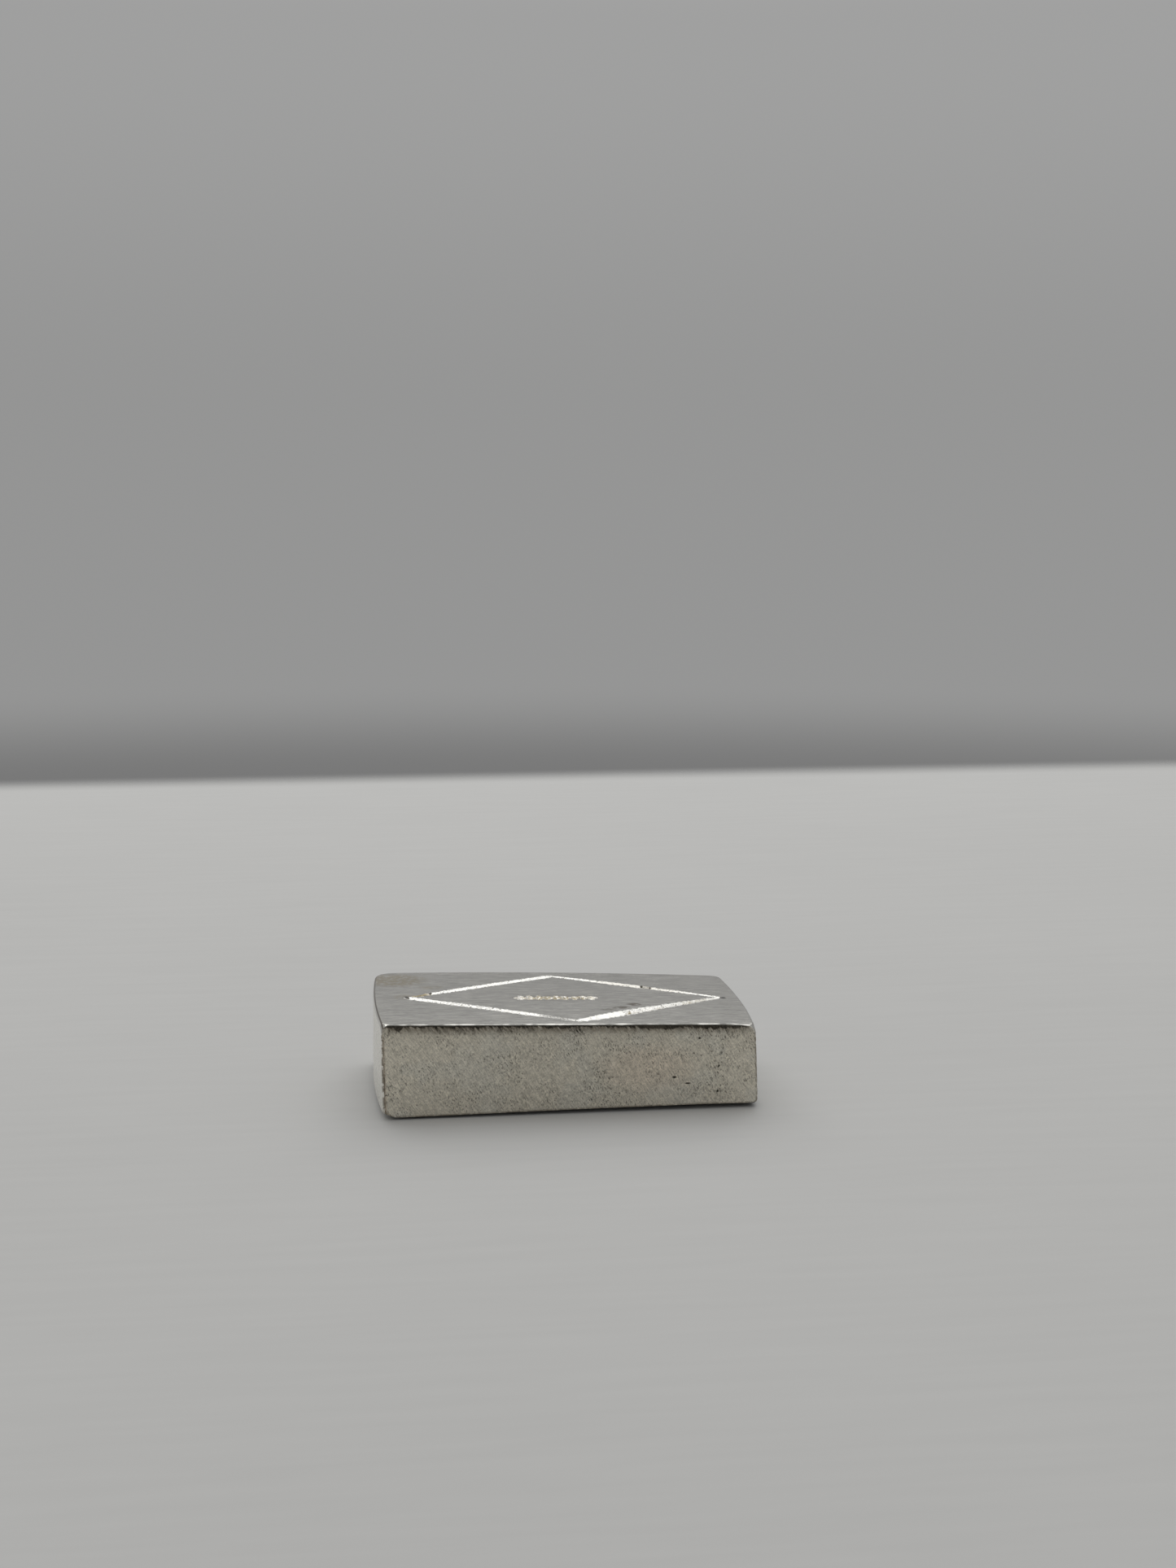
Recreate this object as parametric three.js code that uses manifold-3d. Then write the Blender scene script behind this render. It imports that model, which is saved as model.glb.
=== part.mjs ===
// A small cast silver ingot: a wedge-shaped bar with crowned ends, soft foot edges, one long side
// sawn flat, and a rhombus of V-shaped grooves cut into its ground top face.
//
// Millimetres, +Z up. The bar lies along X with its thin end at +X, and its sawn side faces -Y.
// While it is drawn, X = 0 is the thick end's corner, Y = 0 the saw cut and Z = 0 the floor.

import * as THREE from 'three';
import { LoftGeometry } from 'three/addons/geometries/LoftGeometry.js';
import { mergeVertices } from 'three/addons/utils/BufferGeometryUtils.js';
import Module from 'manifold-3d';

// ---------------------------------------------------------------- driving dimensions

// Between the corners, before the crowns are added.
const length = 40.9;
const thickEndWidth = 23.25;
const thinEndWidth = 21.9;
const thickEndHeight = 10.6;
const thinEndHeight = 9.4;

// What the saw took off the front of the cast blank.
const sawnOffAtThickEnd = 1.38;
const sawnOffAtThinEnd = 0.8;

// How far the ends and the back bow out. The thick end bows more at its foot than at its top.
const thickEndFootCrown = 0.75;
const thickEndTopCrown = 0.6;
const thinEndCrown = 0.48;
const backCrown = 0.97;

// The thin end leans in from foot to top.
const thinEndLean = 0.33;

// Corners in plan. The saw took the thick end's front corner off whole.
const thickEndBackRadius = 2.2;
const thinEndBackRadius = 1.15;
const thinEndFrontRadius = 0.8;

// Foot edges: quarter ellipses, flat and soft, but for the thin end's.
const footReach = 4.2;
const footRise = 1.1;
const thinEndFootReach = 0.65;

// Top edges: lightly broken, and worn round at the thin end's front corner.
const topEdgeReach = 0.3;
const topEdgeRise = 0.53;
const wornCornerRadius = 4.1;

// The rhombus of V-grooves, by the distance of its four tips from the sides. It is cut by hand, and
// the tip at the back stands a little towards the thick end.
const tipToThickEnd = 3.07;
const tipToThinEnd = 2.0;
const tipToSawnSide = 1.4;
const tipToBack = 0.5;
const backTipShift = 0.48;
const grooveWidth = 1.2;
const grooveDepth = 0.42;

// ---------------------------------------------------------------- fineness of the facets

const footSteps = 8;
const barrelSteps = 4;
const topEdgeSteps = 4;
const sideSteps = 20;
const cornerSteps = 6;
const coneSides = 24;

// ---------------------------------------------------------------- values for the tools

const QUARTER_TURN = Math.PI / 2;
const toolOverrun = 5;
const toolScale = 2; // the V-shaped tool is drawn this much larger than the groove it leaves

const { lerp } = THREE.MathUtils;

// ---------------------------------------------------------------- the top face

function topHeight(x) {
  return lerp(thickEndHeight, thinEndHeight, x / length);
}

function onTopFace(x, y) {
  return new THREE.Vector3(x, y, topHeight(x));
}

// ---------------------------------------------------------------- the cast blank

// The curve from one corner to the next, counterclockwise, bowed outwards by `crown`.
function bowedSide(from, to, crown) {
  const along = to.clone().sub(from);
  const outwards = new THREE.Vector2(along.y, -along.x).normalize();
  const control = from.clone().add(to).multiplyScalar(0.5).addScaledVector(outwards, 2 * crown);
  return new THREE.QuadraticBezierCurve(from, control, to);
}

// A closed outline of corners, each { point, radius, crown }. The crown is that of the side after it.
function outlinePoints(corners) {
  const after = (i) => (i + 1) % corners.length;
  const sides = corners.map(({ point, crown }, i) => bowedSide(point, corners[after(i)].point, crown));
  const share = (radius, side) => radius / side.v0.distanceTo(side.v2);
  return sides.flatMap((side, i) => {
    const { point: nextPoint, radius: nextRadius } = corners[after(i)];
    const nextSide = sides[after(i)];
    const start = share(corners[i].radius, side);
    const end = 1 - share(nextRadius, side);
    const points = [];
    for (let k = 0; k < sideSteps; k += 1) {
      points.push(side.getPoint(lerp(start, end, k / sideSteps)));
    }
    if (nextRadius > 0) {
      const onwards = nextSide.getPoint(share(nextRadius, nextSide));
      const fillet = new THREE.QuadraticBezierCurve(side.getPoint(end), nextPoint, onwards);
      points.push(...fillet.getPoints(cornerSteps).slice(0, -1));
    }
    return points;
  });
}

// The outline of one level. `height` runs from 0 at the foot to 1 at the top. `foot` and `top` are the
// shares of the edges' reach by which the sides stand back there.
function blankOutline({ height, foot, top }) {
  const footIn = footReach * foot;
  const topIn = topEdgeReach * top;
  const thickEnd = footIn + topIn;
  const thinEnd = length - thinEndLean * height - thinEndFootReach * foot;
  const filletOf = (radius) => radius / (1 + footIn);
  return outlinePoints([
    {
      point: new THREE.Vector2(thickEnd, footIn + topIn - sawnOffAtThickEnd),
      radius: 0,
      crown: 0,
    },
    {
      point: new THREE.Vector2(thinEnd - topIn, footIn + topIn - sawnOffAtThinEnd),
      radius: lerp(filletOf(thinEndFrontRadius), wornCornerRadius, top),
      crown: thinEndCrown,
    },
    {
      point: new THREE.Vector2(thinEnd - topIn, thinEndWidth - footIn - topIn),
      radius: filletOf(thinEndBackRadius),
      crown: backCrown,
    },
    {
      point: new THREE.Vector2(thickEnd, thickEndWidth - footIn - topIn),
      radius: filletOf(thickEndBackRadius),
      crown: lerp(thickEndFootCrown, thickEndTopCrown, height),
    },
  ]);
}

// The levels of the loft: round the foot's quarter ellipse, up the sides and over the top edge.
function blankLevels() {
  const levels = [];
  for (let i = 0; i < footSteps; i += 1) {
    const angle = (QUARTER_TURN * i) / footSteps;
    levels.push({ foot: 1 - Math.sin(angle), top: 0, z: () => footRise * (1 - Math.cos(angle)) });
  }
  for (let i = 0; i < barrelSteps; i += 1) {
    levels.push({ foot: 0, top: 0, z: (x) => lerp(footRise, topHeight(x) - topEdgeRise, i / barrelSteps) });
  }
  for (let i = 0; i <= topEdgeSteps; i += 1) {
    const angle = (QUARTER_TURN * i) / topEdgeSteps;
    const drop = topEdgeRise * (1 - Math.sin(angle));
    levels.push({ foot: 0, top: 1 - Math.cos(angle), z: (x) => topHeight(x) - drop });
  }
  return levels;
}

function blankGeometry() {
  const middle = length / 2;
  const sections = blankLevels().map(({ foot, top, z }) => {
    const outline = blankOutline({ height: z(middle) / topHeight(middle), foot, top });
    return outline.map(({ x, y }) => new THREE.Vector3(x, y, z(x)));
  });
  return new LoftGeometry(sections, { capStart: true, capEnd: true });
}

// ---------------------------------------------------------------- cutting tools

// All that lies in front of the saw cut.
function sawnOffGeometry() {
  const depth = Math.max(sawnOffAtThickEnd, sawnOffAtThinEnd) + toolOverrun;
  const height = Math.max(thickEndHeight, thinEndHeight) + 2 * toolOverrun;
  const block = new THREE.BoxGeometry(length + 2 * toolOverrun, depth, height);
  return block.translate(length / 2, -depth / 2, height / 2 - toolOverrun);
}

// The V-shaped tool's run from one tip of the rhombus to the next.
function grooveGeometry(from, to) {
  const halfWidth = (grooveWidth / 2) * toolScale;
  const proud = grooveDepth * (toolScale - 1);
  const vee = new THREE.Shape([
    new THREE.Vector2(0, -grooveDepth),
    new THREE.Vector2(halfWidth, proud),
    new THREE.Vector2(-halfWidth, proud),
  ]);
  const run = to.clone().sub(from);
  const forward = run.clone().normalize();
  const across = new THREE.Vector3(0, 0, 1).cross(forward).normalize();
  const up = forward.clone().cross(across);
  const cut = new THREE.ExtrudeGeometry(vee, { depth: run.length(), bevelEnabled: false });
  return cut.applyMatrix4(new THREE.Matrix4().makeBasis(across, up, forward).setPosition(from));
}

// The conical tip that the tool leaves where it turns.
function tipGeometry(at) {
  const height = grooveDepth * toolScale;
  const cone = new THREE.ConeGeometry((grooveWidth / 2) * toolScale, height, coneSides);
  return cone.rotateX(-QUARTER_TURN).translate(at.x, at.y, at.z - grooveDepth + height / 2);
}

// ---------------------------------------------------------------- cutting

const wasm = await Module();
wasm.setup();

function solidOf(geometry) {
  const bare = new THREE.BufferGeometry();
  bare.setAttribute('position', geometry.getAttribute('position'));
  bare.setIndex(geometry.getIndex());
  const merged = mergeVertices(bare);
  return new wasm.Manifold(new wasm.Mesh({
    numProp: 3,
    vertProperties: new Float32Array(merged.getAttribute('position').array),
    triVerts: new Uint32Array(merged.getIndex().array),
  }));
}

function geometryOf(solid) {
  const { vertProperties, triVerts } = solid.getMesh();
  const geometry = new THREE.BufferGeometry();
  geometry.setAttribute('position', new THREE.BufferAttribute(vertProperties, 3));
  geometry.setIndex(new THREE.BufferAttribute(triVerts, 1));
  geometry.computeVertexNormals();
  return geometry;
}

function ingotGeometry() {
  const tipX = (tipToThickEnd + length - tipToThinEnd) / 2;
  const tipY = (tipToSawnSide + Math.min(thickEndWidth, thinEndWidth) - tipToBack) / 2;
  const tips = [
    onTopFace(tipToThickEnd, tipY),
    onTopFace(tipX, tipToSawnSide),
    onTopFace(length - tipToThinEnd, tipY),
    onTopFace(tipX - backTipShift, 2 * tipY - tipToSawnSide),
  ];
  const grooves = tips.map((tip, i) => grooveGeometry(tip, tips[(i + 1) % tips.length]));
  const tools = [sawnOffGeometry(), ...grooves, ...tips.map(tipGeometry)];
  const bar = tools.reduce((solid, tool) => solid.subtract(solidOf(tool)), solidOf(blankGeometry()));
  return geometryOf(bar);
}

// ---------------------------------------------------------------- the bar, its origin under its middle

const geometry = ingotGeometry();
geometry.computeBoundingBox();
const middle = geometry.boundingBox.getCenter(new THREE.Vector3());
geometry.translate(-middle.x, -middle.y, -geometry.boundingBox.min.z);

const silver = new THREE.MeshStandardMaterial({ color: 0xc9c6bd, roughness: 0.35, metalness: 1 });
const ingot = new THREE.Mesh(geometry, silver);
ingot.name = 'ingot';

const bar = new THREE.Group();
bar.add(ingot);

export default bar;
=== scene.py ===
"""The looks of a small silver ingot: a wedge-shaped cast bar with a sawn front, a ground top face and a
rhombus of bright-cut grooves.

It is laid out as a Blender add-on: property groups hold the settings, one operator makes the bar and
one its stage, and a panel in the 3D view's sidebar lists both. Run as a script, it makes everything
once. Sizes are kept in metres and worked with in millimetres.
"""

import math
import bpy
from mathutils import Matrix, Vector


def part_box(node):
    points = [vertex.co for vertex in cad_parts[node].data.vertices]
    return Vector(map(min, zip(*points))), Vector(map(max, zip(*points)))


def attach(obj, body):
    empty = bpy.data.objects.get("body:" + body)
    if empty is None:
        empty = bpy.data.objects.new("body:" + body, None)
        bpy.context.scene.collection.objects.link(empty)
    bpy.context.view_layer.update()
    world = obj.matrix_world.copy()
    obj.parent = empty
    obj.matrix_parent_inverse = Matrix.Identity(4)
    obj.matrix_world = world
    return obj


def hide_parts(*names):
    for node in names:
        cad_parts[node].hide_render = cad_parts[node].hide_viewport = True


bl_info = {
    "name": "Metal Ingot",
    "version": (1, 0, 0),
    "blender": (4, 5, 0),
    "location": "View3D > Sidebar > Ingot",
    "description": "A sawn and hand-engraved silver ingot on a pale studio floor",
    "category": "Add Mesh",
}

from functools import partial

import bpy
import numpy as np
from bpy.props import FloatProperty, FloatVectorProperty, IntProperty, PointerProperty
from bpy.types import Operator, Panel, PropertyGroup
from mathutils import Matrix, Vector, kdtree, noise

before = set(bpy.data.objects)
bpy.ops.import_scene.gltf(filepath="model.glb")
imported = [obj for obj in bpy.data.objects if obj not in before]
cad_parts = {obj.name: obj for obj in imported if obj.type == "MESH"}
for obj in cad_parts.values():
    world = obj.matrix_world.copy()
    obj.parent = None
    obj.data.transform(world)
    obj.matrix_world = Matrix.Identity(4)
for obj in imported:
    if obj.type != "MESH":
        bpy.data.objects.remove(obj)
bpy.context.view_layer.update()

NODE = "ingot"
MM = 0.001
TINY = 1e-6
SAW_SLANT = 0.65  # how far along the bar the saw's marks run for each millimetre down

# ---- settings


def setting(make, default, description, **options):
    """One setting, still without its name."""
    return partial(make, default=default, description=description, **options)


def mm(millimetres, description):
    return setting(FloatProperty, millimetres * MM, description, unit="LENGTH", precision=5)


def angle(degrees, description):
    return setting(FloatProperty, math.radians(degrees), description, subtype="ANGLE")


def colour(rgb, description):
    return setting(FloatVectorProperty, rgb, description, size=3, min=0, max=1, subtype="COLOR")


def share(value, description, most=1):
    return setting(FloatProperty, value, description, min=0, max=most)


def count(value, description):
    return setting(IntProperty, value, description, min=1)


def named(group):
    """Names each setting of a group after its own word there."""
    for word, make in group.__annotations__.items():
        group.__annotations__[word] = make(name=word.replace("_", " ").capitalize())
    return group


def in_millimetres(group):
    """A group's settings by name, with the lengths in millimetres."""
    values = {}
    for name in type(group).__annotations__:
        prop, value = group.bl_rna.properties[name], getattr(group, name)
        is_length = prop.type == "FLOAT" and prop.unit == "LENGTH"
        values[name] = value / MM if is_length else value
    return type("Millimetres", (), values)


@named
class BlankSizes(PropertyGroup):
    """The cast blank, between its corners, before the sides bow out."""

    length: mm(40.9, "From the thick end to the thin end")
    thick_end_width: mm(23.25, "Behind the saw cut")
    thin_end_width: mm(21.9, "Behind the saw cut")
    thick_end_height: mm(10.6, "From floor to top face")
    thin_end_height: mm(9.4, "From floor to top face")
    sawn_off_at_thick_end: mm(1.38, "Taken off the front")
    sawn_off_at_thin_end: mm(0.8, "Taken off the front")
    thick_end_foot_crown: mm(0.75, "How far it bows out")
    thick_end_top_crown: mm(0.6, "How far it bows out")
    thin_end_crown: mm(0.48, "How far it bows out")
    back_crown: mm(0.97, "How far it bows out")
    thin_end_lean: mm(0.33, "Inwards, from foot to top")
    thick_end_back_radius: mm(2.2, "Radius in plan")
    thin_end_back_radius: mm(1.15, "Radius in plan")
    thin_end_front_radius: mm(0.8, "Radius in plan")
    foot_reach: mm(4.2, "How far in the soft foot edge goes")
    foot_rise: mm(1.1, "How high the soft foot edge rises")
    thin_end_foot_reach: mm(0.65, "How far in its foot edge goes")
    top_edge_reach: mm(0.3, "How far back the broken top edge stands")
    top_edge_rise: mm(0.53, "How deep the broken top edge is")
    worn_corner_radius: mm(2.6, "Radius of the top's front corner, thin end")
    top_crown: mm(0.1, "How far its middle stands up")


@named
class EngravingSizes(PropertyGroup):
    """The rhombus of grooves, placed by its tips, and the marks within it."""

    tip_to_thick_end: mm(3.07, "To the nearest tip")
    tip_to_thin_end: mm(2.12, "To the nearest tip")
    tip_to_sawn_side: mm(1.4, "From the saw cut to the nearest tip")
    tip_to_back: mm(0.5, "From the back to the nearest tip")
    back_tip_shift: mm(0.48, "Towards the thick end")
    front_tip_shift: mm(0.35, "Towards the thin end")
    back_groove_width: mm(0.95, "Of both grooves at the back")
    front_left_groove_width: mm(0.9, "At the surface")
    front_right_groove_width: mm(1.42, "At the surface")
    groove_steepness: share(0.68, "Depth by half width", 2)
    groove_taper: mm(0.9, "Over which a groove widens")
    groove_overrun: mm(0.15, "How far a groove runs past its tip")
    groove_waver: share(0.1, "How much a groove's width varies")
    mark_count: count(9, "Lozenges in the row")
    mark_spacing: mm(1, "From one lozenge to the next")
    mark_length: mm(1.3, "Of a lozenge, along the bar")
    mark_width: mm(1.6, "Of a lozenge, across the bar")
    mark_depth: mm(0.36, "Of a lozenge at its middle")
    marks_back: mm(1, "From the rhombus's middle")
    marks_forward: mm(0.4, "From the rhombus's middle")


@named
class WearSizes(PropertyGroup):
    """What the saw, the file and handling left on the bar."""

    burr_width: mm(0.006, "Of the turned edge over the saw cut")
    burr_waver: share(0.55, "How much that width varies")
    edge_sag: mm(0.042, "How far the turned edge sags in places")
    corner_facet: mm(0.42, "Height lost by the thick end's front corner")
    corner_wear: mm(0.68, "Height lost by the thin end's front corner")
    corner_roll: mm(0.32, "Width of the rolled edge at the worn corner")
    side_edge_top: mm(0.05, "Width broken off the upright edges")
    side_edge_foot: mm(0.3, "Width broken off the upright edges")
    foot_wear: mm(0.15, "Height lost by the saw cut's lower edge")
    foot_wear_reach: mm(2.4, "How far under the bar it is worn")
    tear_depth: mm(0.07, "How deep metal is torn out")
    tear_height: mm(0.34, "How far down the tearing reaches")
    saw_waviness: mm(0.05, "How uneven the sawn face is")
    cast_waviness: mm(0.06, "How uneven the cast sides are")


@named
class MeshDetail(PropertyGroup):
    """How finely the bar's mesh is divided."""

    cells_along: count(250, "Along the bar")
    cells_across: count(130, "Across the bar")
    foot_rows: count(12, "Round the foot edge")
    side_rows: count(46, "Up the sides")
    edge_rows: count(6, "Over the top edge")
    underside_step: count(5, "Cells of the foot for one below")
    sharp_angle: angle(24, "Edges that turn more stay sharp")


@named
class FinishSettings(PropertyGroup):
    """Colours and gloss of the silver, zone by zone."""

    ground: colour((0.52, 0.509, 0.472), "Of the ground top face")
    ground_roughness: share(0.17, "Of the ground top face")
    sawn: colour((0.605, 0.57, 0.487), "Of the sawn face")
    sawn_rosy: colour((0.655, 0.56, 0.455), "Of its rosy cloud")
    sawn_cool: colour((0.57, 0.565, 0.515), "Of its cool clouds")
    sawn_roughness: share(0.5, "Of the sawn face")
    cast: colour((0.9, 0.882, 0.82), "Of the cast ends and back")
    cast_roughness: share(0.27, "Of the cast ends and back")
    bright: colour((0.74, 0.73, 0.695), "Inside the engraved grooves")
    worn_cut: colour((0.22, 0.215, 0.2), "Where a groove is worn shallow")
    bright_roughness: share(0.28, "Inside the engraved grooves")
    tarnish: colour((0.36, 0.305, 0.195), "Of the brown stains")
    stain: colour((0.13, 0.1, 0.065), "Of the dark brown outlines")
    # Besides dirt, this colour paints the shade in the torn band and under the bar's foot.
    grime: colour((0.05, 0.045, 0.035), "Of the dirt in tears and pits")


@named
class StageSettings(PropertyGroup):
    """The floor, the light and the camera."""

    floor: colour((0.53, 0.528, 0.517), "Of the floor")
    floor_back: mm(222, "To the floor's far edge")
    floor_front: mm(1500, "To the floor's near edge")
    floor_side: mm(1500, "To the floor's sides")
    floor_fade: mm(9, "Over which the far edge fades out")
    horizon: share(0.29, "Brightness near the horizon", 4)
    overhead: share(0.53, "Brightness overhead", 4)
    lamp_power: setting(FloatProperty, 2.85, "Of the soft lamp, in watts", unit="POWER")
    lamp_height: mm(582, "Of the soft lamp")
    lamp_size: mm(900, "Side of the soft lamp")
    lamp_back: mm(390, "Behind the bar")
    lamp_side: mm(10, "Towards the thin end")
    camera_side: mm(-27.71, "Along the bar")
    camera_front: mm(-244.69, "Across the bar")
    camera_height: mm(74.36, "Above the floor")
    camera_pitch: angle(9.211, "Down from level")
    camera_heading: angle(7.224, "Clockwise from +Y")
    camera_roll: angle(0.083, "Anticlockwise")
    lens: setting(FloatProperty, 51.375, "Focal length", unit="CAMERA")
    sensor: setting(FloatProperty, 36, "Long side", unit="CAMERA")


# ---- shader maths in Python


def maths(operation, swapped=False):
    """A method that adds a Math node."""

    def method(self, other):
        values = (other, self) if swapped else (self, other)
        return self.node("Math", {"operation": operation}, dict(enumerate(values)))

    return method


class Signal:
    """A socket of a node tree. Arithmetic on signals adds Math nodes."""

    def __init__(self, tree, socket=None):
        self.tree, self.socket = tree, socket

    def node(self, kind, settings=None, sockets=None, output=0):
        """Adds a node, sets it, feeds its sockets and returns one output."""
        made = self.tree.nodes.new("ShaderNode" + kind)
        for name, value in (settings or {}).items():
            setattr(made, name, value)
        for name, value in (sockets or {}).items():
            if isinstance(value, Signal):
                self.tree.links.new(value.socket, made.inputs[name])
            else:
                made.inputs[name].default_value = value
        return Signal(self.tree, made.outputs[output] if len(made.outputs) else None)

    __add__ = __radd__ = maths("ADD")
    __mul__ = __rmul__ = maths("MULTIPLY")
    __sub__, __rsub__ = maths("SUBTRACT"), maths("SUBTRACT", swapped=True)
    __truediv__, __rtruediv__ = maths("DIVIDE"), maths("DIVIDE", swapped=True)
    least, most = maths("MINIMUM"), maths("MAXIMUM")

    def rising(self, low, high):
        """A smooth step from 0 at `low` to 1 at `high`."""
        limits = {"Value": self, "From Min": low, "From Max": high}
        return self.node("MapRange", {"interpolation_type": "SMOOTHSTEP"}, limits)

    def falling(self, low, high):
        return 1 - self.rising(low, high)

    def swing(self, size):
        """Noise made to swing round 0."""
        return (self - 0.5) * size

    def blend(self, under, over):
        """Covers one colour with another where this signal is 1."""
        return self.node("Mix", {"data_type": "RGBA"}, {0: self, 6: rgba(under), 7: rgba(over)}, 2)

    def parts(self):
        """The three numbers of a vector."""
        made = self.node("SeparateXYZ", sockets={0: self}).socket.node
        return [Signal(self.tree, socket) for socket in made.outputs]


def rgba(value):
    return value if isinstance(value, Signal) else (*value, 1)


def bare_tree(owner):
    """The emptied node tree of a material or a world."""
    owner.use_nodes = True
    owner.node_tree.nodes.clear()
    return owner.node_tree


class Surface:
    """A new material, with the coordinates of its patterns in millimetres."""

    def __init__(self, name):
        self.material = bpy.data.materials.new(name)
        self.node = Signal(bare_tree(self.material)).node
        self.place = self.stretch((1 / MM,) * 3, self.node("TexCoord", output="Object"))
        self.x, self.y, self.z = self.place.parts()

    def stretch(self, by, vector=None):
        """The coordinates, or another vector, times three numbers."""
        return self.node("VectorMath", {"operation": "MULTIPLY"}, {0: vector or self.place, 1: by})

    def vector(self, x=0, y=0, z=0):
        return self.node("CombineXYZ", sockets={"X": x, "Y": y, "Z": z})

    def noise(self, scale, detail, roughness=0.5, at=None):
        """Smooth noise, mostly from 0.3 to 0.7. Three scales stretch it."""
        if isinstance(scale, tuple):
            scale, at = 1, self.stretch(scale)
        sockets = {"Vector": at or self.place, "Scale": scale, "Detail": detail, "Roughness": roughness}
        return self.node("TexNoise", None, sockets)

    def strokes(self, degrees, grain, detail, roughness):
        """Noise turned about Y, with a grain of this length, depth and width."""
        sockets = {"Vector": self.place, "Rotation": (0, math.radians(degrees), 0), "Scale": grain}
        turned = self.node("Mapping", {"vector_type": "TEXTURE"}, sockets)
        return self.noise(1, detail, roughness, turned)

    def attribute(self, name):
        """A value that the mesh holds at its points."""
        return self.node("Attribute", {"attribute_name": name}, output="Fac")

    def shaded(self, base, shade):
        """A colour made darker or lighter by a factor."""
        return self.node("VectorMath", {"operation": "SCALE"}, {0: base, "Scale": shade})

    def near(self, x, y, reach_x, reach_y):
        """1 at a place on the top face, falling to 0 round it."""
        return self.oval((self.x - x) / reach_x, (self.y - y) / reach_y)

    def mark(self, x, z, reach_x, reach_z):
        """1 at a place on the saw cut, falling to 0 round it."""
        return self.oval((self.x - x) / reach_x, (self.z - z) / reach_z)

    @staticmethod
    def oval(along, across):
        return (along * along + across * across).falling(0, 1)

    def bump(self, height, depth, under=None):
        """The normal of a relief, over another normal."""
        sockets = {"Height": height, "Distance": depth * MM, "Strength": 1}
        return self.node("Bump", None, {**sockets, "Normal": under} if under else sockets)

    def metal(self, base, roughness, normal):
        """Ends in one metallic shader. Returns the material."""
        sockets = {"Base Color": base, "Roughness": roughness, "Metallic": 1, "Normal": normal}
        self.node("OutputMaterial", sockets={"Surface": self.node("BsdfPrincipled", None, sockets)})
        return self.material


# ---- lines and rings


def bezier(start, control, end, t):
    """Points of a quadratic Bezier curve."""
    t = t[:, None]
    return (1 - t) ** 2 * start + 2 * t * (1 - t) * control + t**2 * end


def bowed_side(start, end, crown, t):
    """Points of the curve between two corners, bowed outwards by `crown`."""
    along = end - start
    outwards = np.array([along[1], -along[0]]) / math.hypot(*along)
    return bezier(start, (start + end) / 2 + 2 * crown * outwards, end, t)


def run_along(points):
    """How far along its line each point lies, for one line or several side by side."""
    steps = np.linalg.norm(np.diff(points, axis=0), axis=-1)
    return np.concatenate([np.zeros_like(steps[:1]), np.cumsum(steps, axis=0)])


def at_shares(line, shares):
    """Points at these shares of a line's length."""
    run = run_along(line)
    return np.column_stack([np.interp(shares * run[-1], run, values) for values in line.T])


def behind_the_saw(line):
    """The start of a line, up to where it meets the saw cut, y = 0."""
    beyond = np.flatnonzero(line[:, 1] < 0)
    if not len(beyond):
        return line
    last, first = line[beyond[0] - 1], line[beyond[0]]
    on_cut = last + (first - last) * last[1] / (last[1] - first[1])
    return np.vstack([line[: beyond[0]], [on_cut[0], 0]])


def coons(front, right, back, left, u, v):
    """A grid of points spread between four lines."""
    u, v = u[:, None, None], v[None, :, None]
    ruled = (1 - v) * front[:, None] + v * back[:, None] + (1 - u) * left[None] + u * right[None]
    corners = (
        (1 - u) * (1 - v) * front[0] + u * (1 - v) * front[-1] + (1 - u) * v * back[0] + u * v * back[-1]
    )
    return ruled - corners


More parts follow.
